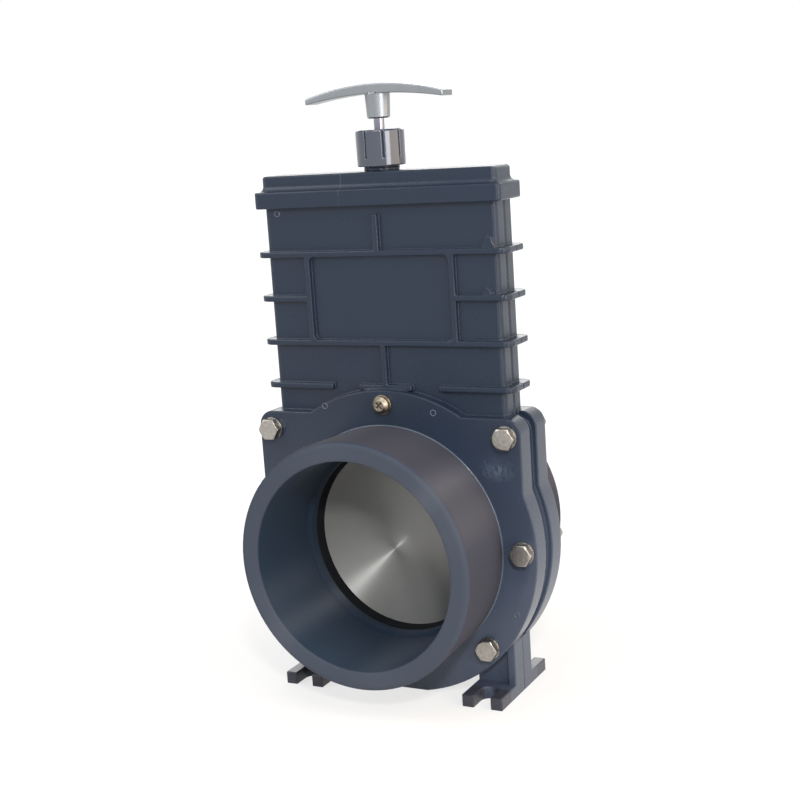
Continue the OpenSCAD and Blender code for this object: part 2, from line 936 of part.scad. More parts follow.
// The T handle: an arched bar on a tapered hub.
module handle() {
    color(c_alu)
        translate([0, 0, axis_h])
            difference() {
                union() {
                    plate_y(-bar_w / 2, bar_w / 2)
                        intersection() {
                            difference() {
                                translate([0, bar_z + bar_t - bar_top_r])
                                    circle(r = bar_top_r, $fn = 180);
                                translate([0, bar_z - bar_under_r])
                                    circle(r = bar_under_r, $fn = 180);
                            }
                            translate([-bar_x, hub_z])
                                square([bar_l, hub_h + bar_t + cut]);
                        }
                    translate([0, 0, hub_z + cut])
                        cylinder(h = hub_h, r1 = hub_low_d / 2, r2 = hub_d / 2);
                    translate([0, 0, hub_z])
                        cylinder(h = cut, r1 = hub_low_d / 2 - cut, r2 = hub_low_d / 2);
                }
                translate([0, 0, hub_z - cut])
                    cylinder(h = stem_top - hub_z + cut, r = stem_d / 2);
                translate([0, 0, hub_z + hub_h / 2])
                    rod_y(0, hub_d, grub_d / 2, grub_d / 2);
            }
}

// The set screw that holds the handle on the stem, from behind.
module handle_grub() {
    color(c_dark)
        translate([0, 0, axis_h + hub_z + hub_h / 2])
            difference() {
                rod_y(stem_d / 2, hub_low_d / 2, grub_d / 2, grub_d / 2);
                translate([0, hub_low_d / 2 - grub_d / 2, 0])
                    rotate([-90, 0, 0])
                        cylinder(h = grub_d, r = grub_d / 4, $fn = 6);
            }
}

front_body();
rear_body();
bonnet_cap();
front_seal();
rear_seal();
body_gasket();
left_guide();
right_guide();
gate_cushion();
flange_bolts();
front_washers();
rear_washers();
flange_nuts();
vent_screw();
vent_washer();
stem_bush();
packing_rings();
gland_follower();
gland_nut();
gate();
stem_yoke();
gate_rivets();
stem();
stem_washer();
stem_nut();
handle();
handle_grub();
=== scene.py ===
import json
import math

import bmesh
import bpy
from mathutils import Matrix, Vector
from mathutils.bvhtree import BVHTree

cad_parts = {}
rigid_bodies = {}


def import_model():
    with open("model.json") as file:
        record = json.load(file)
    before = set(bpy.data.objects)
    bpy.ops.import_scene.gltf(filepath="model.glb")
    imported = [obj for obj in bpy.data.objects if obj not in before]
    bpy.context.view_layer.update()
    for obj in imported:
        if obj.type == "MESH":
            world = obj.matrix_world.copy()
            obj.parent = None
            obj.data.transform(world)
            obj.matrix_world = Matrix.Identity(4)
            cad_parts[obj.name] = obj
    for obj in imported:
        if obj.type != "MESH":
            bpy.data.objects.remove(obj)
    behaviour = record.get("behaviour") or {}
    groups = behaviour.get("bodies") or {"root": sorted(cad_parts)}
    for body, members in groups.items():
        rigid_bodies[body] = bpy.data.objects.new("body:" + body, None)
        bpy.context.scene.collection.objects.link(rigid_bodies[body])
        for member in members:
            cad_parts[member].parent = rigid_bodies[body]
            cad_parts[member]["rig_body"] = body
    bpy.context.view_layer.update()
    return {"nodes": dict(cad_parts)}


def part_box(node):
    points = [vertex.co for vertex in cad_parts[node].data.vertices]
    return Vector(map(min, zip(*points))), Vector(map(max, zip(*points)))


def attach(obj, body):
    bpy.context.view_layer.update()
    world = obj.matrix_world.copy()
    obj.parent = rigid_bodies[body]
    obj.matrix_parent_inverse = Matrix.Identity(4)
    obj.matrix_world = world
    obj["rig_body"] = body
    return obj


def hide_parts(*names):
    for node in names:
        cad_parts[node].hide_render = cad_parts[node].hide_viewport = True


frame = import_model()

# A knife gate valve: a moulded body in two halves, a ribbed bonnet with its cap, a steel gate and a
# pull rod with an arched handle. Metres; the pipe runs along Y and the stem stands on Z.

seal_low, seal_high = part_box("front_seal")
front_low, front_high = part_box("front_body")
cap_low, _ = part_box("bonnet_cap")
pipe_axis = (seal_low.z + seal_high.z) / 2

MOUTH_DEPTH = front_high.y - front_low.y    # from the seam to a socket's mouth
FLANGE_FACE = 0.0253                        # from the seam to the flange's face
SOCKET_ROOT_RADIUS = 0.0944

# ---------------------------------------------------------------- the photograph's view

PHOTO_W, PHOTO_H = 800, 800
LONG_SIDE = max(PHOTO_W, PHOTO_H)
CAMERA_AZIMUTH = math.radians(27.586)
CAMERA_ELEVATION = math.radians(10.817)
CAMERA_ROLL = math.radians(-3.813)
CAMERA_DISTANCE = 1.16632
CAMERA_AIM = Vector((0.0021, 0.0, 0.22996))
LENS = 66.81
SENSOR_WIDTH = 36.0
SHIFT_X, SHIFT_Y = 0.0, 0.0
NEAREST_SEEN, FARTHEST_SEEN = 0.05, 50

# Places in the photograph's frame. None stands for a coordinate that isn't measured.
IMAGE_POINTS = {
    "object_left": (245.1, None),
    "object_right": (561.8, None),
    "object_top": (None, 82.0),
    "object_bottom": (None, 712.0),
    "handle_left_end": (304.5, 99.0),
    "handle_right_end": (453.0, 92.0),
    "gland_nut_top": (380.0, 128.5),
    "cap_left_corner": (253.2, 193.0),
    "cap_right_corner": (523.2, 197.3),
    "left_shoulder_bolt": (268.5, 431.0),
    "right_shoulder_bolt": (503.0, 440.0),
    "right_bolt": (519.5, 556.0),
    "low_bolt": (485.5, 650.0),
    "vent_screw": (380.0, 404.5),
    "mouth_top": (345.0, 462.5),
    "front_foot_corner": (502.0, 712.0),
    "arch_mark_left": (325.0, 406.0),
    "arch_mark_right": (433.0, 413.0),
    "flange_mark": (517.0, 615.0),
    "panel_mark": (277.0, 214.0),
}


def make_camera():
    """The camera where the photographer stood, a little tilted. Gives its place and turn."""
    ca, sa = math.cos(CAMERA_AZIMUTH), math.sin(CAMERA_AZIMUTH)
    ce, se = math.cos(CAMERA_ELEVATION), math.sin(CAMERA_ELEVATION)
    back = Vector((sa * ce, -ca * ce, se))
    level = (-back).cross(Vector((0, 0, 1))).normalized()
    upright = level.cross(-back).normalized()
    right = level * math.cos(CAMERA_ROLL) + upright * math.sin(CAMERA_ROLL)
    up = upright * math.cos(CAMERA_ROLL) - level * math.sin(CAMERA_ROLL)
    data = bpy.data.cameras.new("camera")
    data.sensor_fit = "AUTO"
    data.sensor_width = SENSOR_WIDTH
    data.lens = LENS
    data.shift_x, data.shift_y = SHIFT_X, SHIFT_Y
    data.clip_start, data.clip_end = NEAREST_SEEN, FARTHEST_SEEN
    camera = bpy.data.objects.new("camera", data)
    bpy.context.scene.collection.objects.link(camera)
    axes = Matrix((right, up, back)).transposed().to_4x4()
    camera.matrix_world = Matrix.Translation(CAMERA_AIM + back * CAMERA_DISTANCE) @ axes
    bpy.context.scene.camera = camera
    return camera.matrix_world.copy()


camera_place = make_camera()
camera_turn = camera_place.to_3x3()
camera_spot = camera_place.to_translation()
PIXELS = LONG_SIDE * LENS / SENSOR_WIDTH


def to_picture(p):
    """Where a point of the object shows in the photograph's frame."""
    v = camera_turn.transposed() @ (Vector(p) - camera_spot)
    return (PHOTO_W / 2 - SHIFT_X * LONG_SIDE + PIXELS * v.x / -v.z,
            PHOTO_H / 2 + SHIFT_Y * LONG_SIDE - PIXELS * v.y / -v.z)


def picture_ray(x, y):
    """The ray through a place in the photograph's frame."""
    inner = Vector((x - PHOTO_W / 2 + SHIFT_X * LONG_SIDE, PHOTO_H / 2 - y + SHIFT_Y * LONG_SIDE, -PIXELS))
    return (camera_turn @ inner).normalized()


def place_on(surface, name):
    """The point of a surface under a named image point; if the ray misses, the place near its middle."""
    ray = picture_ray(*IMAGE_POINTS[name])
    spot = surface.ray_cast(camera_spot, ray)[0]
    if spot is None:
        spot = surface.find_nearest(camera_spot + ray * CAMERA_DISTANCE)[0]
    return spot


# ---------------------------------------------------------------- steps that finishes are made of

def new_finish(name):
    """An empty material with a Principled shader."""
    material = bpy.data.materials.new(name)
    material.use_nodes = True
    tree = material.node_tree
    tree.nodes.clear()
    out = tree.nodes.new("ShaderNodeOutputMaterial")
    shader = tree.nodes.new("ShaderNodeBsdfPrincipled")
    tree.links.new(shader.outputs["BSDF"], out.inputs["Surface"])
    return material, tree, shader


def feed(tree, socket, value):
    """Links a socket to another's output, or sets it to a plain value."""
    if hasattr(value, "is_output"):
        tree.links.new(value, socket)
    else:
        socket.default_value = value


def add(tree, kind, inputs=(), **settings):
    """A new node with its settings, and its inputs linked or set."""
    node = tree.nodes.new(kind)
    for key, value in settings.items():
        setattr(node, key, value)
    for key, value in dict(inputs).items():
        feed(tree, node.inputs[key], value)
    return node


def object_place(tree):
    """The point's own place on the object, in metres."""
    return add(tree, "ShaderNodeTexCoord").outputs["Object"]


def object_coords(tree, scale=(1, 1, 1)):
    """The point's place, stretched for a pattern that has a direction."""
    return add(tree, "ShaderNodeMapping", {"Vector": object_place(tree), "Scale": scale}).outputs["Vector"]


def axis_value(tree, axis):
    return add(tree, "ShaderNodeSeparateXYZ", {"Vector": object_place(tree)}).outputs[axis]


def noise(tree, coords, scale, detail=2.0, rough=0.5, warp=0.0):
    return add(tree, "ShaderNodeTexNoise", {"Vector": coords, "Scale": scale, "Detail": detail,
                                           "Roughness": rough, "Distortion": warp}).outputs["Fac"]


def between(tree, value, low, high, to_low=0.0, to_high=1.0):
    """A value stretched from low..high to to_low..to_high, and held there beyond."""
    return add(tree, "ShaderNodeMapRange", {"Value": value, "From Min": low, "From Max": high,
                                           "To Min": to_low, "To Max": to_high}).outputs["Result"]


def arithmetic(tree, operation, a, b=0.0):
    return add(tree, "ShaderNodeMath", {0: a, 1: b}, operation=operation).outputs[0]


def product(tree, first, *others):
    for other in others:
        first = arithmetic(tree, "MULTIPLY", first, other)
    return first


def vector_step(tree, operation, *vectors):
    """One step of vector arithmetic. A length or a dot product comes out as a plain number."""
    node = add(tree, "ShaderNodeVectorMath", dict(enumerate(vectors)), operation=operation)
    return node.outputs["Value" if operation in ("LENGTH", "DOT_PRODUCT") else "Vector"]


def mixed(tree, kind, share, first, second):
    """Two colours or two vectors mixed; kind is the type of their sockets, RGBA or VECTOR."""
    node = add(tree, "ShaderNodeMix", data_type=kind)
    factor = next(s for s in node.inputs if s.name == "Factor" and s.type == "VALUE")
    ends = [s for s in node.inputs if s.name in ("A", "B") and s.type == kind]
    for socket, value in zip((factor, *ends), (share, first, second)):
        feed(tree, socket, value)
    return next(s for s in node.outputs if s.type == kind)


def blend_colours(tree, share, first, second):
    ends = [end if hasattr(end, "is_output") else (*end, 1.0) for end in (first, second)]
    return mixed(tree, "RGBA", share, *ends)


def shade(colour, factor, lift=0.0):
    """A colour made darker or paler."""
    return [min(1, c * factor + lift) for c in colour]


def rounded_normal(tree, radius):
    """The surface's direction as if its edges were round."""
    return add(tree, "ShaderNodeBevel", {"Radius": radius}, samples=6).outputs["Normal"]


def bumps(tree, shader, layers, edge=0.0):
    """Stacked bump layers, each (height, strength, distance), over edges that shade as if worn round."""
    normal = rounded_normal(tree, edge) if edge else None
    for height, strength, distance in layers:
        inputs = {"Height": height, "Strength": strength, "Distance": distance}
        if normal is not None:
            inputs["Normal"] = normal
        normal = add(tree, "ShaderNodeBump", inputs).outputs["Normal"]
    tree.links.new(normal, shader.inputs["Normal"])


def around_axis(tree, centre):
    """Distance from an axis along Y, and the vector that points away from it."""
    arm = vector_step(tree, "SUBTRACT", object_place(tree), centre)
    outward = vector_step(tree, "MULTIPLY", arm, (1, 0, 1))
    return vector_step(tree, "LENGTH", outward), outward


def pipe_depth(tree):
    """How far along the pipe a point lies from the seam, to either side."""
    return arithmetic(tree, "ABSOLUTE", axis_value(tree, "Y"))


def pipe_radius(tree):
    return around_axis(tree, (0, 0, pipe_axis))[0]


# ---------------------------------------------------------------- zones of the body's plastic

# Each pair says where a mask begins and where it is full.
FOOT_PAINTED_LIGHT_HEIGHT = (0.235, 0.090)
MOUTH_EDGE = (MOUTH_DEPTH - 0.0022, MOUTH_DEPTH - 0.0010)
CONE_ROOT, CONE_TIP = (0.0262, 0.0275), (0.0925, 0.0905)
CONE_RADIUS, BORE_RADIUS = (0.0850, 0.0860), (0.0850, 0.0835)
TURNED_ROOT, TURNED_BORE = (0.0254, 0.0262), (0.0840, 0.0830)
TURNED_REACH = (0.104, 0.104 - 0.002)

# The gloss spreads along these: mostly away from the axis on turned walls, upright elsewhere.
TURNED_SPREAD = 3.3
MOULDED_SPREAD = (0.25, 0.15, 1.0)
TURNED_ROUGHER = 0.33

PATCH_MIDDLE = (0.094, -0.0253, 0.184)
PATCH_NARROWING = (62, 330, 95)
PATCH_STROKES = (420, 40, 160)

WELD_LINE_OFFSET = 0.0284                   # from the middle, towards -X
WELD_LINE_WIDTH = (0.0005, 0.0001)


def foot_painted_light(tree):
    """Mask of the lower body, painted a little paler: painted light, as a bounce from the floor would give."""
    return between(tree, axis_value(tree, "Z"), *FOOT_PAINTED_LIGHT_HEIGHT, 0, 0.7)


def cone_walls_painted_light(tree):
    """Mask of the sockets' outer walls, painted lighter and browner: painted warm light and reflection from the
    right.
    """
    depth = pipe_depth(tree)
    return product(tree, between(tree, depth, *CONE_ROOT), between(tree, depth, *CONE_TIP),
                   between(tree, pipe_radius(tree), *CONE_RADIUS, 0, 0.9))


def bore_walls(tree):
    """Mask of the sockets' smooth inner walls, which keep their deep blue."""
    return product(tree, between(tree, pipe_depth(tree), *reversed(MOUTH_EDGE)),
                   between(tree, pipe_radius(tree), *BORE_RADIUS, 0, 0.9))


def mouth_faces_painted_reflection(tree):
    """Mask of the sockets' end faces, turned flat after moulding, and painted paler: a painted reflection of the
    pale floor in front.
    """
    return between(tree, pipe_depth(tree), *MOUTH_EDGE, 0, 0.85)


def scuff_patch_painted_highlight(tree):
    """Mask of the scuffed place on the flange below the right shoulder bolt, painted paler: real scuffs with a
    painted highlight on them.
    """
    arm = vector_step(tree, "SUBTRACT", object_place(tree), PATCH_MIDDLE)
    far = vector_step(tree, "LENGTH", vector_step(tree, "MULTIPLY", arm, PATCH_NARROWING))
    strokes = noise(tree, object_coords(tree, PATCH_STROKES), 1, 4, 0.7, 0.8)
    return product(tree, between(tree, far, 1.0, 0.0, 0, 0.65), between(tree, strokes, 0.42, 0.60))


def weld_line(tree):
    """Mask of the thin line where the two flows of plastic met in the cap."""
    off = arithmetic(tree, "ABSOLUTE", arithmetic(tree, "ADD", axis_value(tree, "X"), WELD_LINE_OFFSET))
    above = between(tree, axis_value(tree, "Z"), cap_low.z + 0.0005, cap_low.z + 0.0015)
    broken = between(tree, noise(tree, object_coords(tree), 160, 3), 0.38, 0.55)
    return product(tree, between(tree, off, *WELD_LINE_WIDTH, 0, 0.42), above, broken)


def turned_socket(tree):
    """Where the mould was turned on a lathe: the sockets, inside and out, and the way their gloss spreads."""
    radius, outward = around_axis(tree, (0, 0, pipe_axis))
    walls = arithmetic(tree, "MAXIMUM", between(tree, pipe_depth(tree), *TURNED_ROOT),
                       between(tree, radius, *TURNED_BORE))
    mask = product(tree, walls, between(tree, radius, *TURNED_REACH))
    away = vector_step(tree, "MULTIPLY", outward, (TURNED_SPREAD,) * 3)
    return mask, vector_step(tree, "ADD", away, (0, 1, 0))


# ---------------------------------------------------------------- finishes

BODY_ROUNDING = 0.0018
NUT_ROUNDING = 0.0009
METAL_ROUNDING = 0.0005
WORN_EDGE_HIGHLIGHT_RADIUS = 0.0011
SCUFF_STRETCH = (50, 60, 260)
PLATE_CENTRE = (-0.010, 0.0, pipe_axis - 0.012)     # what the gate was ground around


def worn_edges_painted_highlight(tree, coords, wear_and_sheen):
    """Mask of the edges painted paler: wear that hands and tools left, and a painted highlight along them; patchy
    along their length.
    """
    plain = add(tree, "ShaderNodeNewGeometry").outputs["Normal"]
    flatness = vector_step(tree, "DOT_PRODUCT", plain, rounded_normal(tree, WORN_EDGE_HIGHLIGHT_RADIUS))
    return product(tree, between(tree, flatness, 0.985, 0.86, 0, wear_and_sheen),
                   between(tree, noise(tree, coords, 90, 3), 0.4, 0.6, 0.2, 1.0))


def moulded_plastic(name, colour, rough, specular=0.36, wear_and_sheen=0.5, zones=(), edge=BODY_ROUNDING, turned=None):
    """Moulded plastic: cloudiness, fine pores, sink waves, edges painted paler as wear and a painted highlight,
    light scuffs, and zones of its own.

    A zone is (a function that makes its mask, its colour, how much rougher it is).
    """
    material, tree, shader = new_finish(name)
    coords = object_coords(tree)
    cloud = noise(tree, coords, 14, 3, 0.55, 0.3)
    speck = between(tree, noise(tree, coords, 1500, 1), 0.62, 0.75, 0, 0.12)
    strokes = noise(tree, object_coords(tree, SCUFF_STRETCH), 1, 4, 0.7, 1.5)
    scuff = between(tree, strokes, 0.62, 0.80, 0, 0.10 * wear_and_sheen)
    base = blend_colours(tree, cloud, shade(colour, 0.92), shade(colour, 1.08))
    base = blend_colours(tree, speck, base, shade(colour, 1.5, 0.008))
    base = blend_colours(tree, scuff, base, shade(colour, 1.3, 0.03))
    # Edges painted paler: partly wear, partly a painted highlight.
    base = blend_colours(tree, worn_edges_painted_highlight(tree, coords, wear_and_sheen), base, shade(colour, 1.5, 0.022))
    gloss = between(tree, noise(tree, coords, 22, 4, 0.6), 0.3, 0.7, rough - 0.04, rough + 0.05)
    gloss = arithmetic(tree, "ADD", gloss, product(tree, scuff, 0.4))
    for make_mask, zone_colour, rougher in zones:
        mask = make_mask(tree)
        base = blend_colours(tree, mask, base, zone_colour)
        gloss = arithmetic(tree, "ADD", gloss, product(tree, mask, rougher))
    if turned:
        mask, spread = turned(tree)
        tree.links.new(mixed(tree, "VECTOR", mask, MOULDED_SPREAD, spread), shader.inputs["Tangent"])
        shader.inputs["Anisotropic"].default_value = 1.0
        gloss = arithmetic(tree, "ADD", gloss, product(tree, mask, TURNED_ROUGHER))
    tree.links.new(base, shader.inputs["Base Color"])
    tree.links.new(gloss, shader.inputs["Roughness"])
    shader.inputs["Specular IOR Level"].default_value = specular
    sink_waves = (noise(tree, coords, 26, 2), 0.16, 0.0012)
    pores = (noise(tree, coords, 1100, 2), 0.02, 0.00012)
    bumps(tree, shader, [sink_waves, pores], edge)
    return material


def rubber(name, colour):
    """Dull black rubber with a fine skin."""
    material, tree, shader = new_finish(name)
    coords = object_coords(tree)
    base = blend_colours(tree, noise(tree, coords, 120, 3), shade(colour, 0.8), shade(colour, 1.3, 0.004))
    tree.links.new(base, shader.inputs["Base Color"])
    gloss = between(tree, noise(tree, coords, 60, 2), 0.3, 0.7, 0.55, 0.72)
    tree.links.new(gloss, shader.inputs["Roughness"])
    shader.inputs["Specular IOR Level"].default_value = 0.12
    bumps(tree, shader, [(noise(tree, coords, 1800, 2), 0.2, 0.0001)])
    return material


def metal(name, colour, rough, grain=(1, 1, 1), grain_scale=900, cloud=0.12, bump=0.1, cloud_scale=70):
    """A metal with cloudiness in its colour and fine grain in its gloss, which may follow one direction."""
    material, tree, shader = new_finish(name)
    clouds = noise(tree, object_coords(tree), cloud_scale, 3, 0.6)
    streak = noise(tree, object_coords(tree, grain), grain_scale, 3, 0.6)
    base = blend_colours(tree, clouds, shade(colour, 1 - cloud), shade(colour, 1 + cloud))
    tree.links.new(base, shader.inputs["Base Color"])
    shader.inputs["Metallic"].default_value = 1.0
    tree.links.new(between(tree, streak, 0.3, 0.7, rough * 0.8, rough * 1.25), shader.inputs["Roughness"])
    bumps(tree, shader, [(streak, bump, 0.00008)], METAL_ROUNDING)
    return material


def brushed_gate(name, colour):
    """Stainless plate ground in rings, a little off the pipe's axis."""
    material, tree, shader = new_finish(name)
    radius, outward = around_axis(tree, PLATE_CENTRE)
    ring_place = add(tree, "ShaderNodeCombineXYZ", {"X": radius}).outputs["Vector"]
    rings = noise(tree, ring_place, 2600, 3, 0.7)
    wide_rings = between(tree, noise(tree, ring_place, 160, 2, 0.5), 0.3, 0.7, 0, 0.2)
    cloud = noise(tree, object_place(tree), 40, 3, 0.6)
    base = blend_colours(tree, cloud, shade(colour, 0.93), shade(colour, 1.07))
    base = blend_colours(tree, wide_rings, base, shade(colour, 0.88))
    tree.links.new(base, shader.inputs["Base Color"])
    shader.inputs["Metallic"].default_value = 0.7
    shader.inputs["Anisotropic"].default_value = 0.97
    tree.links.new(outward, shader.inputs["Tangent"])
    tree.links.new(between(tree, rings, 0.3, 0.7, 0.55, 0.65), shader.inputs["Roughness"])
    bumps(tree, shader, [(rings, 0.05, 0.00005)])
    return material


# The body's zones: the foot, the cone walls, the mouth faces and the scuffed patch are painted light; the bore
# and the weld line are the plastic's own.
BODY_ZONES = (
    (foot_painted_light, (0.072, 0.090, 0.134), 0.0),
    (cone_walls_painted_light, (0.038, 0.038, 0.053), 0.0),
    (bore_walls, (0.008, 0.021, 0.041), 0.0),
    (mouth_faces_painted_reflection, (0.050, 0.061, 0.083), 0.06),
    (scuff_patch_painted_highlight, (0.105, 0.135, 0.180), 0.20),
    (weld_line, (0.11, 0.12, 0.14), 0.1),
)

FINISHES = {
    "body_plastic": moulded_plastic("body_plastic", (0.012, 0.021, 0.040), 0.25, zones=BODY_ZONES,
                                    turned=turned_socket),
    # A paler copy of the body's plastic for the root beads and the moulding marks: a painted highlight on their
    # small round edges.
    "plastic_painted_highlight": moulded_plastic("plastic_painted_highlight", (0.080, 0.096, 0.125), 0.25, specular=0.5,
                                      wear_and_sheen=0.8, edge=0),
    # The nut's edges take the paler edge colour at full strength: wear and a painted highlight.
    "nut_plastic": moulded_plastic("nut_plastic", (0.040, 0.050, 0.074), 0.13, specular=0.8, wear_and_sheen=1.0,
                                   edge=NUT_ROUNDING),
    "guide_plastic": moulded_plastic("guide_plastic", (0.62, 0.61, 0.57), 0.45, wear_and_sheen=0.2),
    "seal_rubber": rubber("seal_rubber", (0.006, 0.007, 0.009)),
    "packing_rubber": rubber("packing_rubber", (0.020, 0.020, 0.022)),
    "gate_steel": brushed_gate("gate_steel", (0.45, 0.45, 0.435)),
    "yoke_steel": metal("yoke_steel", (0.50, 0.49, 0.47), 0.35),
    "fastener_steel": metal("fastener_steel", (0.36, 0.335, 0.305), 0.34, grain_scale=520, cloud=0.55,
                            bump=0.8, cloud_scale=420),
    "vent_zinc": metal("vent_zinc", (0.27, 0.23, 0.18), 0.36, grain_scale=400, cloud=0.5, bump=0.6,
                       cloud_scale=500),
    "stem_chrome": metal("stem_chrome", (0.25, 0.25, 0.31), 0.16, grain=(1, 1, 0.02), grain_scale=420,
                         cloud=0.5),
    "handle_aluminium": metal("handle_aluminium", (0.27, 0.285, 0.305), 0.34, cloud=0.10, bump=0.15),
    "grub_steel": metal("grub_steel", (0.10, 0.10, 0.10), 0.4),
}

# ---------------------------------------------------------------- pieces from the CAD nodes

SAME_POINT = 1e-6
FLAT_ENOUGH = math.radians(0.3)
SHARP_EDGE = math.radians(50)
INNER_CORNER = math.radians(40)
ROUNDING_STEPS = 3
FARTHEST_OFF = 0.6          # how far a rounded edge may leave the true shape, as a share of its width
NORMAL_WEIGHT = 90
WASHER_PLAY = 0.0001


def ease_rim(work, width):
    """Takes a little off a washer's rim, so that it turns freely in its pocket."""
    rim = max(math.hypot(v.co.x, v.co.y) for v in work.verts)
    for vert in work.verts:
        reach = math.hypot(vert.co.x, vert.co.y)
        if reach > rim - 2 * width:
            vert.co.x, vert.co.y = (c * (reach - WASHER_PLAY) / reach for c in vert.co.xy)


def softened(node, width):
    """A copy of a CAD node with its outer edges rounded, as a mould or a tool leaves them."""
    work = bmesh.new()
    work.from_mesh(frame["nodes"][node].data)
    bmesh.ops.remove_doubles(work, verts=work.verts, dist=SAME_POINT)
    true_shape = BVHTree.FromBMesh(work)
    if node != "bonnet_cap":
        bmesh.ops.dissolve_limit(work, angle_limit=FLAT_ENOUGH, verts=work.verts, edges=work.edges)
    edges = [e for e in work.edges if len(e.link_faces) == 2 and e.calc_face_angle_signed() > SHARP_EDGE]
    bmesh.ops.bevel(work, geom=edges, offset=width, offset_type="OFFSET", segments=ROUNDING_STEPS,
                    profile=0.5, affect="EDGES", clamp_overlap=False, miter_outer="ARC", loop_slide=False)
    for vert in work.verts:
        spot, _, _, far = true_shape.find_nearest(vert.co)
        if far > FARTHEST_OFF * width:
            vert.co = spot
    if node == "stem_washer":
        ease_rim(work, width)
    for edge in work.edges:
        edge.smooth = len(edge.link_faces) == 2 and edge.calc_face_angle() < INNER_CORNER
    bmesh.ops.triangulate(work, faces=[f for f in work.faces if len(f.verts) > 4])
    mesh = bpy.data.meshes.new(node + "_soft")
    work.to_mesh(mesh)
    work.free()
    for face in mesh.polygons:
        face.use_smooth = True
    piece = bpy.data.objects.new(node + "_piece", mesh)
    bpy.context.scene.collection.objects.link(piece)
    if node != "gate":
        even = piece.modifiers.new("even", "WEIGHTED_NORMAL")
        even.keep_sharp = True
        even.weight = NORMAL_WEIGHT
    return applied(piece)


def applied(piece):
    """The piece with its modifiers made part of its mesh."""
    depsgraph = bpy.context.evaluated_depsgraph_get()
    mesh = bpy.data.meshes.new_from_object(piece.evaluated_get(depsgraph))
    piece.modifiers.clear()
    piece.data = mesh
    return piece


# Node: (material slot, rounding of its edges in metres).
NODE_FINISHES = {
    "front_body": ("body_plastic", 0.0008),
    "rear_body": ("body_plastic", 0.0008),
    "bonnet_cap": ("body_plastic", 0.0010),
    "front_seal": ("seal_rubber", 0.0003),
    "rear_seal": ("seal_rubber", 0.0003),
    "body_gasket": ("seal_rubber", 0.0002),
    "left_guide": ("guide_plastic", 0.0003),
    "right_guide": ("guide_plastic", 0.0003),
    "gate_cushion": ("seal_rubber", 0.0003),
    "flange_bolts": ("fastener_steel", 0.0003),
    "front_washers": ("fastener_steel", 0.0002),
    "rear_washers": ("fastener_steel", 0.0002),
    "flange_nuts": ("fastener_steel", 0.0003),
    "vent_screw": ("vent_zinc", 0.0003),
    "vent_washer": ("vent_zinc", 0.0002),
    "stem_bush": ("guide_plastic", 0.0002),
    "packing_rings": ("packing_rubber", 0.0002),
    "gland_follower": ("guide_plastic", 0.0002),
    "gland_nut": ("nut_plastic", 0.0004),
    "gate": ("gate_steel", 0.0003),
    "stem_yoke": ("yoke_steel", 0.0003),
    "gate_rivets": ("yoke_steel", 0.0002),
    "stem": ("stem_chrome", 0.0003),
    "stem_washer": ("yoke_steel", 0.0002),
    "stem_nut": ("yoke_steel", 0.0002),
    "handle": ("handle_aluminium", 0.0010),
    "handle_grub": ("grub_steel", 0.0001),
}

pieces = {}
for node, (slot, width) in NODE_FINISHES.items():
    piece = softened(node, width)
    piece.data.materials.clear()
    piece.data.materials.append(FINISHES[slot])
    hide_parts(node)
    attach(piece, frame["nodes"][node]["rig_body"])
    pieces[node] = piece

# ---------------------------------------------------------------- what repeats: threads, beads and marks

RIDGE_SIZES = (("Radius", 0.005), ("Thickness", 0.0003), ("Rise", 0.002), ("Turns", 1.0))
RING_POINTS, TURN_POINTS, RIDGE_SIDES = 96, 40, 8
SAME_RIDGE_POINT = 1e-7


def ridge_tree(name, ring, finish):
    """A Geometry Nodes tree: a round ridge, as a ring or as a thread's turns, at every point of the piece."""
    tree = bpy.data.node_groups.new(name, "GeometryNodeTree")
    face = tree.interface
    face.new_socket("Geometry", in_out="INPUT", socket_type="NodeSocketGeometry")
    for label, start in RIDGE_SIZES:
        face.new_socket(label, in_out="INPUT", socket_type="NodeSocketFloat").default_value = start
    face.new_socket("Turned", in_out="INPUT", socket_type="NodeSocketRotation")
    face.new_socket("Geometry", in_out="OUTPUT", socket_type="NodeSocketGeometry")
    given = add(tree, "NodeGroupInput").outputs
    if ring:
        path = add(tree, "GeometryNodeCurvePrimitiveCircle",
                   {"Resolution": RING_POINTS, "Radius": given["Radius"]})
    else:
        path = add(tree, "GeometryNodeCurveSpiral",
                   {"Resolution": TURN_POINTS, "Rotations": given["Turns"], "Height": given["Rise"],
                    "Start Radius": given["Radius"], "End Radius": given["Radius"]})
    round_bar = add(tree, "GeometryNodeCurvePrimitiveCircle",
                    {"Resolution": RIDGE_SIDES, "Radius": given["Thickness"]})
    ridge = add(tree, "GeometryNodeCurveToMesh", {"Curve": path.outputs["Curve"],
                                                  "Profile Curve": round_bar.outputs["Curve"], "Fill Caps": True})
    spread = add(tree, "GeometryNodeInstanceOnPoints",
                 {"Points": given["Geometry"], "Instance": ridge.outputs["Mesh"], "Rotation": given["Turned"]})
    real = add(tree, "GeometryNodeRealizeInstances", {"Geometry": spread.outputs["Instances"]})
    smooth = add(tree, "GeometryNodeSetShadeSmooth", {0: real.outputs["Geometry"]})
    dressed = add(tree, "GeometryNodeSetMaterial", {"Geometry": smooth.outputs[0], "Material": finish})
    out = tree.nodes.new("NodeGroupOutput")
    tree.links.new(dressed.outputs["Geometry"], out.inputs["Geometry"])
    return tree


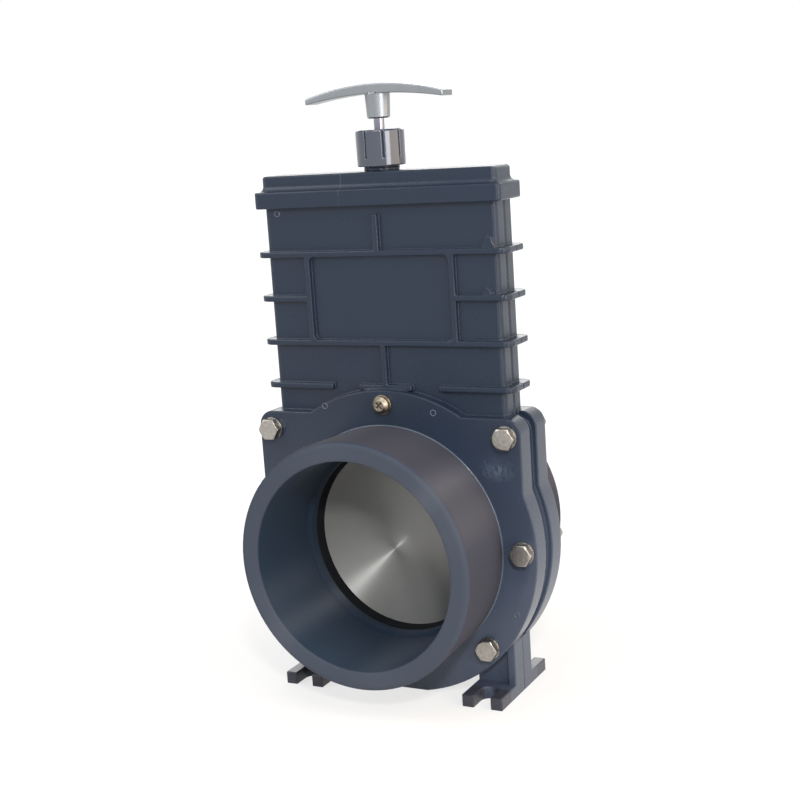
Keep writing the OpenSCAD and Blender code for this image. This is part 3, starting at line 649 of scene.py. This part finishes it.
def ridged(name, tree, points, settings, body):
    """A piece of ridges at the given points, made a plain mesh, that rides on a body."""
    mesh = bpy.data.meshes.new(name)
    mesh.from_pydata([tuple(p) for p in points], [], [])
    piece = bpy.data.objects.new(name, mesh)
    bpy.context.scene.collection.objects.link(piece)
    grow = piece.modifiers.new("grow", "NODES")
    grow.node_group = tree
    named = {item.name: item.identifier for item in tree.interface.items_tree
             if item.item_type == "SOCKET" and item.in_out == "INPUT"}
    for label, value in settings.items():
        grow[named[label]] = value
    applied(piece)
    work = bmesh.new()
    work.from_mesh(piece.data)
    bmesh.ops.remove_doubles(work, verts=work.verts, dist=SAME_RIDGE_POINT)
    bmesh.ops.recalc_face_normals(work, faces=work.faces)
    work.to_mesh(piece.data)
    work.free()
    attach(piece, body)
    pieces[name] = piece


def islands(mesh, high=1.0):
    """Points of each separate solid of a mesh, only those with y up to high."""
    parent = list(range(len(mesh.vertices)))

    def root(i):
        while parent[i] != i:
            parent[i] = parent[parent[i]]
            i = parent[i]
        return i

    for edge in mesh.edges:
        a, b = root(edge.vertices[0]), root(edge.vertices[1])
        if a != b:
            parent[a] = b
    groups = {}
    for v in mesh.vertices:
        if v.co.y <= high:
            groups.setdefault(root(v.index), []).append(v.co.copy())
    return list(groups.values())


def middle(points):
    return sum(points, Vector()) / len(points)


body_of = {node: frame["nodes"][node]["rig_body"] for node in NODE_FINISHES}
ALONG_PIPE = (math.radians(-90), 0.0, 0.0)
UPRIGHT = (0.0, 0.0, 0.0)

BOLT_THREAD = {"Radius": 0.0049, "Thickness": 0.00032, "Rise": 0.0016, "Turns": 1.3, "Turned": ALONG_PIPE}
NECK_THREAD = {"Radius": 0.0137, "Thickness": 0.0003, "Rise": 0.0026, "Turns": 1.3, "Turned": UPRIGHT}
ROOT_BEAD = {"Radius": SOCKET_ROOT_RADIUS, "Thickness": 0.0007, "Turned": ALONG_PIPE}
MARK = {"Radius": 0.0022, "Thickness": 0.0004, "Turned": ALONG_PIPE}
MARK_NAMES = ("arch_mark_left", "arch_mark_right", "flange_mark", "panel_mark")
THREAD_PAST_NUT = 0.0004
THREAD_BELOW_GLAND = 0.0034
BEAD_OFF_FLANGE = 0.0005

_, nut_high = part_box("flange_nuts")
bolt_middles = [middle(g) for g in islands(pieces["flange_bolts"].data)]
bolt_ends = [Vector((m.x, nut_high.y + THREAD_PAST_NUT, m.z)) for m in bolt_middles]
ridged("bolt_threads", ridge_tree("bolt_thread", False, FINISHES["fastener_steel"]), bolt_ends,
       BOLT_THREAD, body_of["flange_bolts"])

gland_low, gland_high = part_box("gland_nut")
ridged("neck_threads", ridge_tree("neck_thread", False, FINISHES["body_plastic"]),
       [(0, 0, gland_low.z - THREAD_BELOW_GLAND)], NECK_THREAD, body_of["bonnet_cap"])

# The beads and marks wear the paler plastic, a painted highlight.
for name, side, half in (("root_bead_front", -1, "front_body"), ("root_bead_rear", 1, "rear_body")):
    ridged(name, ridge_tree(name, True, FINISHES["plastic_painted_highlight"]),
           [(0, side * (FLANGE_FACE + BEAD_OFF_FLANGE), pipe_axis)], ROOT_BEAD, body_of[half])

body_surface = BVHTree.FromObject(pieces["front_body"], bpy.context.evaluated_depsgraph_get())
for name in MARK_NAMES:
    ridged(name, ridge_tree(name, True, FINISHES["plastic_painted_highlight"]), [place_on(body_surface, name)],
           MARK, body_of["front_body"])

# ---------------------------------------------------------------- studio

FLOOR_HALF_SIDE = 20
FLOOR_GLOW = 1.15
SHADOW_REACH = (0.15, 0.85)     # the floor's glow grows with the distance from the valve
SHADOW_SHARE = (0.62, 1.0)
ROOM_LIGHT = 0.24

# Name, azimuth and elevation in degrees, distance, side of the soft box, watts, colour.
LAMPS = (
    ("key", 32, 28.5, 1.9, 0.16, 20.0, (1, 1, 1)),
    ("front", -50, 34, 1.8, 0.90, 10.0, (0.97, 0.98, 1)),
    ("fill", 62, 10, 1.7, 0.60, 9.0, (0.98, 0.98, 1)),
    ("top", 5, 72, 1.6, 0.90, 7.0, (1, 1, 1)),
    ("side", 98, 26, 2.2, 2.2, 38.0, (1, 0.77, 0.54)),
    ("behind", 200, 30, 2.1, 1.4, 16.0, (1, 1, 1)),
)


def seen_as_backdrop(tree):
    """1 for the camera, for mirrors and through glass, 0 for the light on the object."""
    path = add(tree, "ShaderNodeLightPath").outputs
    seen = arithmetic(tree, "MAXIMUM", path["Is Camera Ray"], path["Is Glossy Ray"])
    return arithmetic(tree, "MAXIMUM", seen, path["Is Transmission Ray"])


def make_floor():
    """A pale floor that glows white to the camera, less so close to the valve, where its shadow lies."""
    work = bmesh.new()
    bmesh.ops.create_grid(work, x_segments=1, y_segments=1, size=FLOOR_HALF_SIDE)
    mesh = bpy.data.meshes.new("floor")
    work.to_mesh(mesh)
    work.free()
    floor = bpy.data.objects.new("floor", mesh)
    bpy.context.scene.collection.objects.link(floor)
    material, tree, shader = new_finish("floor")
    shader.inputs["Roughness"].default_value = 0.9
    shader.inputs["Specular IOR Level"].default_value = 0.0
    tone = blend_colours(tree, noise(tree, object_coords(tree), 3), (0.74, 0.72, 0.69), (0.78, 0.76, 0.73))
    tree.links.new(tone, shader.inputs["Base Color"])
    glow = add(tree, "ShaderNodeEmission", {"Color": (1, 1, 1, 1), "Strength": FLOOR_GLOW})
    away = between(tree, vector_step(tree, "LENGTH", object_place(tree)), *SHADOW_REACH, *SHADOW_SHARE)
    share = product(tree, seen_as_backdrop(tree), away)
    both = add(tree, "ShaderNodeMixShader", {0: share, 1: shader.outputs["BSDF"], 2: glow.outputs["Emission"]})
    out = next(n for n in tree.nodes if n.type == "OUTPUT_MATERIAL")
    tree.links.new(both.outputs[0], out.inputs["Surface"])
    mesh.materials.append(material)


def make_world():
    """Even room light on the object, and white behind it."""
    world = bpy.data.worlds.new("studio")
    bpy.context.scene.world = world
    world.use_nodes = True
    tree = world.node_tree
    tree.nodes.clear()
    room = add(tree, "ShaderNodeBackground", {"Color": (0.92, 0.95, 1.0, 1), "Strength": ROOM_LIGHT})
    white = add(tree, "ShaderNodeBackground", {"Color": (1, 1, 1, 1), "Strength": 1.0})
    both = add(tree, "ShaderNodeMixShader", {0: seen_as_backdrop(tree), 1: room.outputs[0], 2: white.outputs[0]})
    out = add(tree, "ShaderNodeOutputWorld")
    tree.links.new(both.outputs[0], out.inputs["Surface"])


def make_lamp(name, azimuth, elevation, distance, size, power, colour):
    """A soft box that looks at the valve's middle."""
    a, e = math.radians(azimuth), math.radians(elevation)
    away = Vector((math.sin(a) * math.cos(e), -math.cos(a) * math.cos(e), math.sin(e)))
    data = bpy.data.lights.new(name, "AREA")
    data.shape = "SQUARE"
    data.size = size
    data.energy = power
    data.color = colour
    lamp = bpy.data.objects.new(name, data)
    turn = away.to_track_quat("Z", "Y").to_matrix().to_4x4()
    lamp.matrix_world = Matrix.Translation(CAMERA_AIM + away * distance) @ turn
    bpy.context.scene.collection.objects.link(lamp)


make_floor()
make_world()
for lamp_facts in LAMPS:
    make_lamp(*lamp_facts)

bpy.context.scene.view_settings.view_transform = "Standard"

# ---------------------------------------------------------------- what is measured

NUT_TOP_BAND = 0.0005
VENT_HEAD_Y = -0.0275
MOUTH_BAND = 0.002
MOUTH_INNER_EDGE = 0.086


def finished_vertices(piece):
    depsgraph = bpy.context.evaluated_depsgraph_get()
    shown = piece.evaluated_get(depsgraph)
    return [shown.matrix_world @ v.co for v in shown.data.vertices]


def box_middle(points):
    """Middle of the box that the points fill in the picture."""
    seen = [to_picture(p) for p in points]
    xs, ys = [p[0] for p in seen], [p[1] for p in seen]
    return ((min(xs) + max(xs)) / 2, (min(ys) + max(ys)) / 2)


def nearest_place(places, name):
    x, y = IMAGE_POINTS[name]
    return min(places, key=lambda p: (p[0] - x) ** 2 + (p[1] - y) ** 2)


def height_in_picture(p):
    return p[1]


def measure_points():
    """Where each named thing shows, in the photograph's frame."""
    shown = {}
    everything = [to_picture(p) for piece in pieces.values() for p in finished_vertices(piece)]
    shown["object_left"] = (min(p[0] for p in everything), None)
    shown["object_right"] = (max(p[0] for p in everything), None)
    shown["object_top"] = (None, min(p[1] for p in everything))
    shown["object_bottom"] = (None, max(p[1] for p in everything))
    bar = [to_picture(p) for p in finished_vertices(pieces["handle"])]
    shown["handle_left_end"] = min(bar)
    shown["handle_right_end"] = max(bar)
    nut = finished_vertices(pieces["gland_nut"])
    shown["gland_nut_top"] = box_middle([p for p in nut if p.z > gland_high.z - NUT_TOP_BAND])
    cap = [to_picture(p) for p in finished_vertices(pieces["bonnet_cap"])]
    shown["cap_left_corner"] = min(cap)
    shown["cap_right_corner"] = max(cap)
    heads = [box_middle(g) for g in islands(pieces["flange_bolts"].data, high=-FLANGE_FACE)]
    for name in ("left_shoulder_bolt", "right_shoulder_bolt", "right_bolt", "low_bolt"):
        shown[name] = nearest_place(heads, name)
    vent = finished_vertices(pieces["vent_screw"])
    shown["vent_screw"] = box_middle([p for p in vent if p.y < VENT_HEAD_Y])
    body = finished_vertices(pieces["front_body"])
    mouth = [to_picture(p) for p in body if p.y < front_low.y + MOUTH_BAND
             and math.hypot(p.x, p.z - pipe_axis) < MOUTH_INNER_EDGE]
    shown["mouth_top"] = min(mouth, key=height_in_picture)
    shown["front_foot_corner"] = max([to_picture(p) for p in body], key=height_in_picture)
    for name in MARK_NAMES:
        shown[name] = box_middle(finished_vertices(pieces[name]))
    return shown


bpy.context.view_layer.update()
for name, (x, y) in measure_points().items():
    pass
